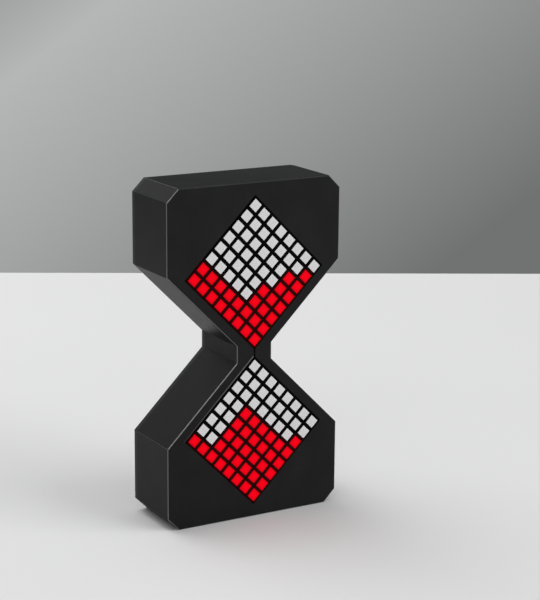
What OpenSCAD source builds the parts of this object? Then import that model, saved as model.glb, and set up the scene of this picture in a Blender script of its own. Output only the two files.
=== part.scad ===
// Electronic hourglass timer: an hourglass casing with two square LED displays set on their corners.
// X runs across, Y from front to back and Z up, in millimetres. The origin is the middle of the base.

/* [Displays] */
// Distance from one pixel to the next
pixel_pitch = 4; // [3.6:0.1:4.4]
// Side of one square pixel
pixel_side = 2.9; // [2.4:0.1:3.3]
// Thickness of the plate that the pixels sit in
pixel_depth = 2; // [1:0.1:3]
// How far a pixel's face lies behind the display's face
pixel_recess = 0.1; // [0.05:0.05:0.5]
// Thickness of a display from its face to its back
display_depth = 8; // [7:0.1:9]
// How far a display stands out of the casing
display_proud = 0.3; // [0.1:0.1:1]
// Bevel round a display's face
display_bevel = 0.2; // [0.1:0.05:0.5]
// Side wall of a display's case
display_wall = 1; // [0.6:0.1:1.6]
// Distance between the two displays at the neck
display_tip_gap = 2.5; // [1.5:0.1:4]
// Distance from one display pin to the next
pin_pitch = 2.54; // [2:0.02:2.7]
// Distance between a display's two rows of pins
pin_row_gap = 24; // [21:0.5:25]
// Diameter of a display pin
pin_d = 0.5; // [0.4:0.05:0.7]
// Length of pin behind the board
pin_past = 1; // [0.5:0.1:1.6]

/* [Casing] */
// Distance from a display's side corner to the casing's side
side_border = 5.9; // [5:0.1:9]
// Distance from a display's end corner to the casing's top or base
end_border = 4; // [3.5:0.1:8]
// Distance from a display's edge to the slanted flank beside it
flank_border = 3.2; // [2.8:0.1:3.6]
// Width of the casing at the waist
waist_w = 11.6; // [10:0.2:16]
// Depth of the casing from front to back
body_d = 22.2; // [20.4:0.2:30]
// Height and width of the slanted cut on each outer corner
corner_cut = 3.8; // [2:0.1:5]
// Thickness of the side walls
wall = 2; // [1.4:0.1:2.4]
// Thickness of the front wall
front_wall = 2; // [1.4:0.1:3]
// Bevel along the casing's front edge
edge_bevel = 0.3; // [0.2:0.1:1]
// Width and depth of the slit that joins the displays at the neck
neck_slit = 0.5; // [0.3:0.1:1]

/* [Rear cover] */
// Thickness of the rear cover
cover_t = 2; // [1.6:0.1:3]
// How far the cover's edge lies inside the casing's edge
cover_reveal = 0.1; // [0.05:0.05:0.4]
// Bevel along the cover's back edge
cover_bevel = 0.2; // [0.1:0.05:0.8]
// Thickness of the lip that locates the cover
lip_t = 1.2; // [0.8:0.1:1.6]
// Depth of the lip
lip_depth = 1.5; // [1:0.1:3]
// Diameter of a screw boss for the cover
boss_d = 6; // [5:0.1:6.6]
// Diameter of a cover screw's head
cover_head_d = 4.8; // [4:0.1:5.2]
// Diameter of a cover screw's shank
cover_shank_d = 2.4; // [2:0.1:2.8]
// Length of a cover screw
cover_screw_l = 10; // [6:0.5:14]

/* [Circuit board] */
// Thickness of the board
board_t = 1.6; // [1:0.1:2]
// Diameter of a post that carries the board
post_d = 4.4; // [3.6:0.1:5]
// Distance from a post across to the screw boss beside it
post_from_boss = 10; // [8:0.5:12]
// Distance from a post's middle to the casing's end wall
post_from_end = 3; // [2.6:0.1:4]
// Diameter of a board screw's head
board_head_d = 3.6; // [3:0.1:4]
// Height of a board screw's head
board_head_h = 1.2; // [0.8:0.1:1.6]
// Diameter of a board screw's shank
board_shank_d = 1.9; // [1.6:0.1:2.2]
// Length of a board screw under its head
board_screw_l = 5; // [4:0.5:6]

/* [Chips] */
// Length of a display driver chip
driver_l = 15.4; // [14:0.1:15.8]
// Width of a display driver chip
driver_w = 7.5; // [6:0.1:7.8]
// Height of a display driver chip
driver_h = 2.3; // [1.5:0.1:2.6]
// Distance from the lower display's middle to its driver chip
driver_offset = 10.5; // [10:0.1:10.8]
// Side of the microcontroller
controller_side = 7; // [5:0.5:7.5]
// Height of the microcontroller
controller_h = 1.5; // [1:0.1:1.7]
// Distance from the microcontroller's leads to the board's lower edge
controller_from_edge = 2.6; // [2:0.1:3]
// Length of the charging chip
charger_l = 4.9; // [4:0.1:5.2]
// Width of the charging chip
charger_w = 3.9; // [3:0.1:4.2]
// Height of the charging chip
charger_h = 1.5; // [1:0.1:1.7]
// Length of a chip's leads outside its body
lead_reach = 1; // [0.6:0.1:1.3]
// Thickness of a chip's leads
lead_t = 0.25; // [0.2:0.05:0.4]
// Length of a chip capacitor
capacitor_l = 2; // [1.6:0.1:2.4]
// Width of a chip capacitor
capacitor_w = 1.25; // [0.8:0.05:1.6]
// Height of a chip capacitor
capacitor_h = 0.9; // [0.5:0.1:1.4]

/* [Set button] */
// Diameter of the button's cap
button_d = 9; // [7:0.1:11]
// How far the cap stands out of the cover
button_proud = 0.3; // [0.1:0.1:1]
// Depth of the finger dish in the cap
button_dish = 0.4; // [0.2:0.1:0.8]
// Travel of the button
button_travel = 0.4; // [0.2:0.05:0.45]
// How far the cap's flange reaches past the cap
flange_reach = 1.5; // [0.8:0.1:2]
// Thickness of the cap's flange
flange_t = 1; // [0.6:0.1:1.5]
// Diameter of the cap's stem
stem_d = 5; // [4:0.1:6]
// Side of the push switch under the cap
tact_side = 6; // [5.6:0.1:6.4]
// Height of the push switch's case
tact_h = 3.5; // [3.2:0.1:4]
// Diameter of the push switch's plunger
plunger_d = 3.5; // [3:0.1:4]
// Height of the push switch with its plunger
plunger_h = 7; // [6:0.1:7.5]

/* [Power switch] */
// Length of the switch's case, up the casing
switch_l = 9; // [8.4:0.1:10]
// Width of the switch's case, into the casing
switch_w = 4.5; // [4:0.1:5]
// Height of the switch's case off the board
switch_h = 4; // [3.6:0.1:5]
// Travel of the knob
switch_travel = 2; // [1:0.1:2.4]
// Height of the knob's tip, along its travel
knob_l = 2; // [1.4:0.1:2.4]
// Thickness of the knob
knob_t = 1.6; // [1:0.1:2]
// Length of the hidden slider that carries the knob
slider_l = 4.4; // [3:0.1:5]
// Depth of the slider
slider_w = 2.2; // [1.5:0.1:2.6]
// How far the knob's tip lies inside the casing's side
knob_sunk = 0.2; // [0.1:0.1:0.6]
// Length of the finger hollow round the knob
hollow_l = 11; // [9:0.1:12]
// Width of the finger hollow
hollow_w = 6.4; // [5:0.1:8]
// Depth of the finger hollow
hollow_depth = 0.9; // [0.4:0.1:1.2]

/* [Charging socket] */
// Width of the socket's shell
usb_w = 8.94; // [8.6:0.02:9.2]
// Height of the socket's shell
usb_h = 3.16; // [3:0.02:3.4]
// Length of the socket's shell
usb_l = 7.35; // [6.5:0.05:8]
// Thickness of the shell's metal
usb_t = 0.3; // [0.2:0.05:0.4]
// How far the socket's mouth lies inside the casing's side
usb_sunk = 0.6; // [0.3:0.1:1.5]
// Width of the tongue inside the socket
tongue_w = 6.7; // [6:0.1:7]
// Thickness of the tongue
tongue_t = 0.7; // [0.5:0.05:0.9]
// Distance from the tongue's tip to the mouth
tongue_sunk = 1; // [0.6:0.1:2]
// Length of the block that holds the tongue
tongue_block_l = 2; // [1.5:0.1:3]
// Distance from a casing's shoulder to the socket, and to the power switch
port_from_shoulder = 3; // [2:0.1:3.6]

/* [Battery] */
// Width of the battery
battery_w = 30; // [20:0.5:32]
// Height of the battery
battery_l = 25; // [18:0.5:25.5]
// Thickness of the battery
battery_t = 5; // [3:0.1:5.5]
// Thickness of the tape that holds the battery to the cover
tape_t = 0.8; // [0.5:0.1:1.5]
// Distance from the tape's edge to the battery's edge
tape_inset = 4; // [2:0.5:8]
// Distance from the battery to the casing's end wall
battery_from_end = 3.5; // [3:0.1:5]
// Width of the battery lead's socket
socket_w = 7; // [6:0.1:7.2]
// Length of that socket
socket_l = 5.5; // [4.5:0.1:5.7]
// Height of that socket
socket_h = 4.2; // [3.6:0.1:5]
// Distance from the middle of the casing across to that socket
socket_left = 2.6; // [2.4:0.1:2.8]
// Distance from the upper display's middle down to that socket
socket_drop = 13.4; // [13:0.1:13.8]
// Wall of that socket
socket_wall = 0.6; // [0.4:0.1:0.8]
// Length of the plug outside the socket
plug_past = 1.6; // [1:0.1:2]
// Diameter of a battery lead
wire_d = 1.2; // [1:0.1:1.4]
// Distance between the two battery leads
wire_gap = 2.5; // [2:0.1:3]

/* [Tilt sensor and buzzer] */
// Diameter of the tilt sensor's can
can_d = 5; // [4.6:0.1:5.4]
// Length of the can
can_l = 9.5; // [8:0.1:10.5]
// Thickness of the can's wall and end
can_t = 0.35; // [0.25:0.05:0.45]
// Diameter of the ball in the can
ball_d = 3.6; // [3:0.1:3.7]
// Distance from the lower display's middle down to the can's lower end
can_drop = 17.6; // [17:0.1:18.5]
// Thickness of the can's plug outside the can
plug_t = 1; // [0.6:0.1:1.5]
// Diameter of the buzzer
buzzer_d = 12; // [10:0.1:12.4]
// Height of the buzzer
buzzer_h = 6; // [4:0.1:7.5]
// Distance from the middle of the casing across to the buzzer
buzzer_left = 13; // [12:0.1:14]
// Distance from the lower display's middle down to the buzzer
buzzer_drop = 6.1; // [5.5:0.1:7]
// Diameter of the buzzer's own sound hole
buzzer_hole_d = 2; // [1.5:0.1:3]
// Diameter of a sound hole in the cover
sound_hole_d = 1.2; // [0.8:0.1:1.6]
// Distance from the middle sound hole to those round it
sound_ring_r = 3.2; // [2.4:0.1:4]

/* [Clearances] */
// Gap round a display in its window
window_gap = 0.15; // [0.1:0.05:0.3]
// Gap between parts that are pressed or cast together
snug_gap = 0.05; // [0.02:0.01:0.1]
// Gap round parts that locate each other
fit_gap = 0.15; // [0.1:0.05:0.2]
// Gap round parts that slide
slide_gap = 0.2; // [0.15:0.05:0.25]
// Gap between the board and the casing's walls
board_gap = 0.5; // [0.3:0.1:0.8]
// Gap between neighbours on the board
part_gap = 0.6; // [0.4:0.1:0.8]

/* [Hidden] */
$fn = 48;
root2 = sqrt(2);
// How far a cut runs past the face that it opens
cut_past = 1;

// First lit column of each row, counted from each display's upper right edge; eight means none
upper_first_lit = [8, 7, 6, 6, 5, 5, 0, 0];
lower_first_lit = [8, 8, 7, 2, 2, 2, 2, 0];
pixel_rows = len(upper_first_lit);
last_pixel = pixel_rows - 1;
pins_per_row = 8;

// Outline of the casing
display_side = pixel_pitch * pixel_rows;
display_half = display_side / root2;
display_z = display_tip_gap / 2 + display_half;
half_w = display_half + side_border;
half_h = display_z + display_half + end_border;
// Where the slanted flanks would meet the middle height
flank_x = flank_border * root2 - display_tip_gap / 2;
waist_h = waist_w - 2 * flank_x;
shoulder_z = half_w - flank_x;

// Depths, from the front
front_y = -body_d / 2;
back_y = body_d / 2;
inner_y = front_y + front_wall;
split_y = back_y - cover_t;
face_y = front_y - display_proud;
board_y = face_y + display_depth;
board_back_y = board_y + board_t;

// Screw bosses stand clear of the cover's lip on the side, the end and the slanted corner
lip_in = wall + fit_gap + lip_t;
boss_in = lip_in + fit_gap + boss_d / 2;
boss_x = half_w - boss_in;
boss_z = half_h - max(boss_in, corner_cut + boss_in * (root2 - 1));
post_x = boss_x - post_from_boss;
post_z = half_h - wall - post_from_end;
cover_head_h = (cover_head_d - cover_shank_d) / 2;
boss_bore_l = cover_screw_l - cover_t + cut_past;
// Thickness of wall that closes the bottom of each post's bore
post_floor = 0.3;

// Width, length and depth of the cross in a screw's head, as shares of the head's diameter
cross_l = 0.5;
cross_w = 0.12;
cross_depth = 0.18;

// The pins' row ends, measured across from a display's middle
pin_row_l = (pins_per_row - 1) * pin_pitch;
pin_end_x = (pin_row_l + pin_row_gap) / 2 / root2;
pin_hole_d = pin_d + 2 * slide_gap;

// Places on the board, measured across and up from the middle of the casing
controller_x = -post_x + board_head_d / 2 + part_gap + controller_side / 2 + lead_reach;
controller_z = -half_h + wall + board_gap + controller_from_edge + lead_reach + controller_side / 2;
usb_z = -shoulder_z - port_from_shoulder - usb_w / 2;
switch_z = shoulder_z + port_from_shoulder + switch_l / 2;
charger_x = pin_end_x + pin_hole_d + part_gap + charger_l / 2;
charger_z = usb_z + usb_w / 2 + part_gap + lead_reach + charger_w / 2;
buzzer_x = -buzzer_left;
buzzer_z = -display_z - buzzer_drop;
can_x = boss_x - boss_d / 2 - part_gap - can_d / 2;
can_y = board_back_y + snug_gap + can_d / 2;
can_z = -display_z - can_drop;
socket_x = -socket_left;
socket_z = display_z - socket_drop;
// Across and up from each display's middle
upper_capacitors = [[-10.5, -4], [-10.5, -1], [10.5, 3], [10.5, 6]];
lower_capacitors = [[-4.5, 7.4], [-8, 4.9], [-17, -14], [-17, -17]];

// Leads on each chip's side
driver_leads = 12;
controller_leads = 8;
charger_leads = 4;
driver_lead_pitch = 1.27;
controller_lead_pitch = 0.8;
charger_lead_pitch = 1.27;
// Gap under a chip's body
chip_standoff = 0.1;

// Push switch and button
flange_y = split_y - snug_gap - flange_t;
plunger_y = board_back_y + plunger_h;
button_hole_d = button_d + 2 * slide_gap;
tact_lid_t = 0.6;
tact_flange_t = 0.8;
tact_flange_d = 4.6;
tact_flange_z = tact_h - tact_lid_t - snug_gap - tact_flange_t;
dome_t = 0.1;
dome_h = button_travel + 2 * snug_gap;
dome_d = tact_flange_d;
dome_r = (dome_d * dome_d / 4 + dome_h * dome_h) / (2 * dome_h);
tact_floor = tact_flange_z - dome_h;
button_bevel = 0.3;

// Power switch
switch_in = half_w - wall - fit_gap;
switch_y = board_back_y + switch_h / 2;
knob_rest_z = switch_z - switch_travel / 2;
slider_t = knob_t + 2 * part_gap;
slider_out = switch_in - part_gap;

// Charging socket
usb_y = board_back_y + usb_h / 2 + snug_gap;
usb_out = half_w - usb_sunk;

// Battery and its lead
battery_y = split_y - tape_t;
battery_z = half_h - wall - battery_from_end - battery_l / 2;
battery_corner_r = 1.5;
socket_y = board_back_y + socket_h / 2;
plug_end_z = socket_z + socket_l / 2 + plug_past;
// Back and up from the plug's end
wire_points = [[0, 0.7], [0.3, 1.6], [1.2, 2.3], [2.7, 2.7], [4.2, 3.1], [5.2, 3.8]];
// Straight length of lead at the battery
wire_straight = 0.6;
wire_sides = 8;

// Tilt sensor
ball_gap = 0.1;
can_plug_in = 0.8;
ball_rest_z = can_z + can_t + ball_gap + ball_d / 2;
tilt_travel = can_l - can_t - can_plug_in - ball_d - 2 * ball_gap;
tilt_lead_gap = 2;

sound_holes = 6;

echo(body_w = 2 * half_w, body_h = 2 * half_h, tilt_travel = tilt_travel);

// Half width and height of the outline's corners from base to top, drawn in by inset all round
function casing_levels(inset) =
    let (slant = inset * (root2 - 1))
    let (upper = [
        [waist_w / 2 - inset, waist_h / 2 + slant],
        [half_w - inset, shoulder_z + slant],
        [half_w - inset, half_h - corner_cut - slant],
        [half_w - corner_cut - slant, half_h - inset]
    ])
    concat([for (i = [len(upper) - 1:-1:0]) [upper[i].x, -upper[i].y]], upper);

// The whole outline: up the right side and down the left
function casing_outline(inset) =
    let (right = casing_levels(inset))
    concat(right, [for (i = [len(right) - 1:-1:0]) [-right[i].x, right[i].y]]);

module casing_shape(inset) {
    polygon(casing_outline(inset));
}

// A solid through rings of the casing's outline, each given as its depth and its inset
module casing_block(rings) {
    count = len(casing_outline(0));
    levels = count / 2;
    last = len(rings) - 1;
    points = [for (ring = rings) for (p = casing_outline(ring[1])) [p.x, ring[0], half_h + p.y]];
    sides = [for (r = [0:last - 1]) for (i = [0:count - 1])
        let (a = r * count, b = a + count, next = (i + 1) % count)
        [a + i, a + next, b + next, b + i]];
    front = [for (i = [0:levels - 2])
        [count - 1 - i, count - 2 - i, i + 1, i]];
    back = [for (face = front)
        [for (i = [3:-1:0]) last * count + face[i]]];
    polyhedron(points, concat(sides, front, back));
}

// A flat shape seen from the front, drawn about the middle of the casing, from one depth to another
module slab(from_y, to_y) {
    translate([0, to_y, half_h])
    rotate([90, 0, 0])
    linear_extrude(to_y - from_y)
    children();
}

// A flat shape on the right wall, given as back and down, from one distance across to another
module side_slab(from_x, to_x) {
    translate([from_x, 0, half_h])
    rotate([0, 90, 0])
    linear_extrude(to_x - from_x)
    children();
}

// Children whose own Z runs from front to back, and whose own Y runs down
module facing_back(x, y, z) {
    translate([x, y, half_h + z])
    rotate([-90, 0, 0])
    children();
}

module on_board(x, z) {
    facing_back(x, board_back_y, z)
    children();
}

module at_corners(x, z) {
    for (side = [-1, 1], end = [-1, 1])
        translate([side * x, end * z])
        children();
}

module round_slot(length, width) {
    square([length - width, width], center = true);
    for (end = [-1, 1])
        translate([end * (length - width) / 2, 0])
        circle(d = width);
}

module screw_cross(head_d) {
    for (turn = [0, 90])
        rotate(turn)
        cube([cross_l * head_d, cross_w * head_d, 2 * cross_depth * head_d], center = true);
}

// One display's plan, turned on its corner; end is 1 for the upper display and -1 for the lower
module display_plan(end) {
    translate([0, end * display_z])
    rotate(45)
    children();
}

// The pixels of one state; a pixel is lit from the first lit column of its row on
module pixel_squares(first_lit, lit, side) {
    for (row = [0:last_pixel], column = [0:last_pixel])
        if ((column >= first_lit[row]) == lit)
            translate([last_pixel / 2 - row, last_pixel / 2 - column] * pixel_pitch)
            square(side, center = true);
}

module pin_places() {
    for (row = [-1, 1], pin = [0:pins_per_row - 1])
        translate([pin * pin_pitch - pin_row_l / 2, row * pin_row_gap / 2])
        children();
}

module matrix_case(end, first_lit) {
    color("#0b0b0c")
    difference() {
        union() {
            slab(face_y + display_bevel, board_y)
                display_plan(end)
                square(display_side, center = true);
            translate([0, face_y, half_h + end * display_z])
                rotate([-90, 0, 0])
                cylinder(
                    h = display_bevel,
                    r1 = display_half - display_bevel * root2,
                    r2 = display_half,
                    $fn = 4
                );
        }
        slab(face_y + pixel_depth, board_y + cut_past)
            display_plan(end)
            square(display_side - 2 * display_wall, center = true);
        slab(face_y - cut_past, board_y)
            display_plan(end)
            for (lit = [true, false])
                pixel_squares(first_lit, lit, pixel_side + 2 * snug_gap);
    }
}

module matrix_pixels(end, first_lit, lit) {
    slab(face_y + pixel_recess, face_y + pixel_depth)
        display_plan(end)
        pixel_squares(first_lit, lit, pixel_side);
}

module matrix_base(end) {
    color("#2a2a2c")
    slab(face_y + pixel_depth, board_y)
        display_plan(end)
        square(display_side - 2 * display_wall - 2 * snug_gap, center = true);
}

module matrix_pins(end) {
    color("silver")
    slab(board_y, board_back_y + pin_past)
        display_plan(end)
        pin_places()
        circle(d = pin_d);
}

module front_shell() {
    color("#1c1c1e")
    difference() {
        union() {
            difference() {
                casing_block([[front_y, edge_bevel], [front_y + edge_bevel, 0], [split_y, 0]]);
                slab(inner_y, split_y + cut_past)
                    casing_shape(wall);
            }
            slab(inner_y - front_wall / 2, split_y)
                at_corners(boss_x, boss_z)
                circle(d = boss_d);
            slab(inner_y - front_wall / 2, board_y)
                at_corners(post_x, post_z)
                circle(d = post_d);
        }
        slab(front_y - cut_past, inner_y + cut_past)
            for (end = [-1, 1])
                display_plan(end)
                square(display_side + 2 * window_gap, center = true);
        slab(front_y - cut_past, front_y + neck_slit)
            square([neck_slit, display_tip_gap], center = true);
        slab(split_y - boss_bore_l, split_y + cut_past)
            at_corners(boss_x, boss_z)
            circle(d = cover_shank_d + 2 * snug_gap);
        slab(inner_y + post_floor, board_y + cut_past)
            at_corners(post_x, post_z)
            circle(d = board_shank_d + 2 * snug_gap);
        side_slab(half_w - wall - cut_past, half_w + cut_past)
            translate([-usb_z, usb_y])
            round_slot(usb_w + 2 * slide_gap, usb_h + 2 * slide_gap);
        side_slab(half_w - wall - cut_past, half_w + cut_past)
            translate([-switch_z, switch_y])
            square([knob_l + switch_travel + 2 * part_gap, knob_t + 2 * part_gap], center = true);
        side_slab(half_w - hollow_depth, half_w + cut_past)
            translate([-switch_z, switch_y])
            round_slot(hollow_l, hollow_w);
    }
}

module rear_cover() {
    color("#1a1a1c")
    difference() {
        union() {
            casing_block([
                [split_y, cover_reveal],
                [back_y - cover_bevel, cover_reveal],
                [back_y, cover_reveal + cover_bevel]
            ]);
            slab(split_y - lip_depth, split_y + cover_t / 2)
                difference() {
                    casing_shape(wall + fit_gap);
                    casing_shape(lip_in);
                }
        }
        for (side = [-1, 1], end = [-1, 1])
            facing_back(side * boss_x, back_y, end * boss_z)
                sunk_hole();
        slab(split_y - cut_past, back_y + cut_past)
            translate([0, -display_z])
            circle(d = button_hole_d);
        slab(split_y - cut_past, back_y + cut_past)
            translate([buzzer_x, buzzer_z]) {
                circle(d = sound_hole_d);
                for (i = [1:sound_holes])
                    rotate(i * 360 / sound_holes)
                    translate([sound_ring_r, 0])
                    circle(d = sound_hole_d);
            }
    }
}

// A through hole with a cone for a flat screw head at its outer end, drawn below its mouth
module sunk_hole() {
    hole_r = cover_shank_d / 2 + slide_gap;
    rotate_extrude()
        polygon([
            [0, -cover_t - cut_past],
            [hole_r, -cover_t - cut_past],
            [hole_r, -cover_head_h],
            [hole_r + cover_head_h + cut_past, cut_past],
            [0, cut_past]
        ]);
}

module cover_screws() {
    color("dimgray")
    for (side = [-1, 1], end = [-1, 1])
        facing_back(side * boss_x, back_y - snug_gap, end * boss_z)
            difference() {
                union() {
                    translate([0, 0, -cover_head_h])
                        cylinder(h = cover_head_h, d1 = cover_shank_d, d2 = cover_head_d);
                    translate([0, 0, -cover_screw_l])
                        cylinder(h = cover_screw_l - cover_head_h, d = cover_shank_d);
                }
                screw_cross(cover_head_d);
            }
}

module upper_matrix_case() {
    matrix_case(1, upper_first_lit);
}

module upper_lit_pixels() {
    color("#f8041c")
    matrix_pixels(1, upper_first_lit, true);
}

module upper_unlit_pixels() {
    color("#d4d2d4")
    matrix_pixels(1, upper_first_lit, false);
}

module upper_matrix_base() {
    matrix_base(1);
}

module upper_matrix_pins() {
    matrix_pins(1);
}

module lower_matrix_case() {
    matrix_case(-1, lower_first_lit);
}

module lower_lit_pixels() {
    color("#f8041c")
    matrix_pixels(-1, lower_first_lit, true);
}

module lower_unlit_pixels() {
    color("#d4d2d4")
    matrix_pixels(-1, lower_first_lit, false);
}

module lower_matrix_base() {
    matrix_base(-1);
}

module lower_matrix_pins() {
    matrix_pins(-1);
}

// The board is notched at its corners for the screw bosses
module main_board() {
    notch = boss_d + 2 * board_gap;
    color("#14402a")
    slab(board_y, board_back_y)
        difference() {
            casing_shape(wall + board_gap);
            for (side = [-1, 1], end = [-1, 1])
                translate([side * boss_x, end * boss_z])
                rotate(side * end * 45)
                translate([side * notch / 2, 0])
                square([2 * notch, notch], center = true);
            at_corners(post_x, post_z)
                circle(d = board_shank_d + 2 * slide_gap);
            for (end = [-1, 1])
                display_plan(end)
                pin_places()
                circle(d = pin_hole_d);
        }
}

module board_screws() {
    color("silver")
    for (side = [-1, 1], end = [-1, 1])
        on_board(side * post_x, end * post_z)
            difference() {
                union() {
                    cylinder(h = board_head_h, d = board_head_d);
                    translate([0, 0, -board_screw_l])
                        cylinder(h = board_screw_l, d = board_shank_d);
                }
                translate([0, 0, board_head_h])
                    screw_cross(board_head_d);
            }
}

module chip_body(length, width, height) {
    translate([0, 0, (chip_standoff + height) / 2])
    cube([length, width, height - chip_standoff], center = true);
}

// Flat leads along the two long sides of a chip, which reach a little way under its body
module chip_leads(width, leads, pitch) {
    for (i = [0:leads - 1], side = [-1, 1])
        translate([(i - (leads - 1) / 2) * pitch, side * (width + lead_reach - lead_t) / 2, lead_t / 2])
        cube([pitch / 3, lead_reach + lead_t, lead_t], center = true);
}

module driver_chip() {
    chip_body(driver_l, driver_w, driver_h);
    chip_leads(driver_w, driver_leads, driver_lead_pitch);
}

module upper_driver_chip() {
    color("#232326")
    on_board(0, display_z)
        driver_chip();
}

module lower_driver_chip() {
    color("#232326")
    on_board(driver_offset / root2, -display_z + driver_offset / root2)
        rotate(45)
        driver_chip();
}

module microcontroller() {
    color("#232326")
    on_board(controller_x, controller_z) {
        chip_body(controller_side, controller_side, controller_h);
        for (turn = [0, 90])
            rotate(turn)
            chip_leads(controller_side, controller_leads, controller_lead_pitch);
    }
}

module charger_chip() {
    color("#232326")
    on_board(charger_x, charger_z) {
        chip_body(charger_l, charger_w, charger_h);
        chip_leads(charger_w, charger_leads, charger_lead_pitch);
    }
}

module chip_capacitors() {
    color("burlywood")
    for (end = [-1, 1], place = end > 0 ? upper_capacitors : lower_capacitors)
        on_board(place.x, end * display_z + place.y)
            translate([0, 0, capacitor_h / 2])
            cube([capacitor_l, capacitor_w, capacitor_h], center = true);
}

module tilt_sensor_can() {
    color("gainsboro")
    translate([can_x, can_y, half_h + can_z])
        difference() {
            cylinder(h = can_l, d = can_d);
            translate([0, 0, can_t])
                cylinder(h = can_l, d = can_d - 2 * can_t);
        }
}

module tilt_sensor_plug() {
    color("#303034")
    translate([can_x, can_y, half_h + can_z + can_l]) {
        cylinder(h = plug_t, d = can_d);
        translate([0, 0, -can_plug_in])
            cylinder(h = can_plug_in, d = can_d - 2 * can_t - 2 * snug_gap);
    }
}

// Two wires leave the plug upwards and turn down onto the board
module tilt_sensor_leads() {
    color("silver")
    for (side = [-1, 1])
        translate([can_x + side * tilt_lead_gap / 2, can_y, half_h + can_z + can_l + plug_t]) {
            cylinder(h = part_gap, d = pin_d);
            translate([0, 0, part_gap])
                sphere(d = pin_d);
            translate([0, 0, part_gap])
                rotate([90, 0, 0])
                cylinder(h = can_y - board_back_y, d = pin_d);
        }
}

module tilt_ball() {
    color("lightgray")
    translate([can_x, can_y, half_h + ball_rest_z])
        sphere(d = ball_d);
}

module buzzer() {
    color("#202023")
    on_board(buzzer_x, buzzer_z)
        difference() {
            cylinder(h = buzzer_h, d = buzzer_d);
            translate([0, 0, buzzer_h / 2])
                cylinder(h = buzzer_h, d = buzzer_hole_d);
        }
}

module rounded_plate(width, height, radius) {
    square([width - 2 * radius, height], center = true);
    square([width, height - 2 * radius], center = true);
    at_corners(width / 2 - radius, height / 2 - radius)
        circle(radius);
}

module battery() {
    color("lightslategray")
    slab(battery_y - battery_t, battery_y)
        translate([0, battery_z])
        rounded_plate(battery_w, battery_l, battery_corner_r);
}

module battery_tape() {
    color("whitesmoke")
    slab(battery_y, split_y)
        translate([0, battery_z])
        square([battery_w - 2 * tape_inset, battery_l - 2 * tape_inset], center = true);
}

function unit(v) = v / norm(v);

function along(path, i) = unit(path[min(i + 1, len(path) - 1)] - path[max(i - 1, 0)]);

// A round tube along a path that stays in one plane square to X
module wire(path) {
    last = len(path) - 1;
    points = [for (i = [0:last])
        let (up = cross([1, 0, 0], along(path, i)))
        for (s = [0:wire_sides - 1])
        let (turn = s * 360 / wire_sides)
        path[i] + wire_d / 2 * (cos(turn) * [1, 0, 0] + sin(turn) * up)];
    sides = [for (i = [0:last - 1]) for (s = [0:wire_sides - 1])
        let (a = i * wire_sides, b = a + wire_sides, next = (s + 1) % wire_sides)
        [a + s, b + s, b + next, a + next]];
    start = [for (s = [0:wire_sides - 1]) s];
    end = [for (s = [wire_sides - 1:-1:0]) last * wire_sides + s];
    polyhedron(points, concat(sides, [start, end]));
}

module battery_leads() {
    battery_end = [battery_y - battery_t / 2, half_h + battery_z - battery_l / 2];
    plug_end = [socket_y, half_h + plug_end_z];
    color("firebrick")
    for (side = [-1, 1])
        let (x = socket_x + side * wire_gap / 2)
        wire(concat(
            [[x, plug_end.x, plug_end.y]],
            [for (p = wire_points) [x, plug_end.x + p.x, plug_end.y + p.y]],
            [for (back = [wire_straight, 0]) [x, battery_end.x, battery_end.y - back]]
        ));
}

// The plug fills the socket's hollow and stands out at its upper end
module battery_plug() {
    room = socket_wall + snug_gap;
    color("ivory")
    slab(board_back_y + room, board_back_y + socket_h - room)
        translate([socket_x - socket_w / 2 + room, socket_z - socket_l / 2 + room])
        square([socket_w - 2 * room, socket_l + plug_past - room]);
}

module battery_socket() {
    color("snow")
    difference() {
        slab(board_back_y, board_back_y + socket_h)
            translate([socket_x, socket_z])
            square([socket_w, socket_l], center = true);
        slab(board_back_y + socket_wall, board_back_y + socket_h - socket_wall)
            translate([socket_x - socket_w / 2 + socket_wall, socket_z - socket_l / 2 + socket_wall])
            square([socket_w - 2 * socket_wall, socket_l]);
    }
}

module usb_shell() {
    color("lightgray")
    side_slab(usb_out - usb_l, usb_out)
        translate([-usb_z, usb_y])
        difference() {
            round_slot(usb_w, usb_h);
            round_slot(usb_w - 2 * usb_t, usb_h - 2 * usb_t);
        }
}

module usb_tongue() {
    inner_w = usb_w - 2 * usb_t - 2 * snug_gap;
    inner_h = usb_h - 2 * usb_t - 2 * snug_gap;
    color("#18181a") {
        side_slab(usb_out - usb_l, usb_out - usb_l + tongue_block_l)
            translate([-usb_z, usb_y])
            round_slot(inner_w, inner_h);
        side_slab(usb_out - usb_l, usb_out - tongue_sunk)
            translate([-usb_z, usb_y])
            square([tongue_w, tongue_t], center = true);
    }
}

// A box with a hollow for the slider, open towards the wall where the knob passes
module switch_case() {
    color("gray")
    difference() {
        side_slab(switch_in - switch_w, switch_in)
            translate([-switch_z, switch_y])
            square([switch_l, switch_h], center = true);
        side_slab(slider_out - slider_w - 2 * slide_gap, slider_out)
            translate([-switch_z, switch_y])
            square([slider_l + switch_travel + 2 * slide_gap, slider_t + 2 * slide_gap], center = true);
        side_slab(slider_out - slide_gap, switch_in + cut_past)
            translate([-switch_z, switch_y])
            square([knob_l + switch_travel + 2 * slide_gap, knob_t + 2 * slide_gap], center = true);
    }
}

module switch_knob() {
    color("#101012") {
        side_slab(slider_out - slide_gap - slider_w, slider_out - slide_gap)
            translate([-knob_rest_z, switch_y])
            square([slider_l, slider_t], center = true);
        side_slab(slider_out - slide_gap - slider_w, half_w - knob_sunk)
            translate([-knob_rest_z, switch_y])
            square([knob_l, knob_t], center = true);
    }
}

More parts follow.
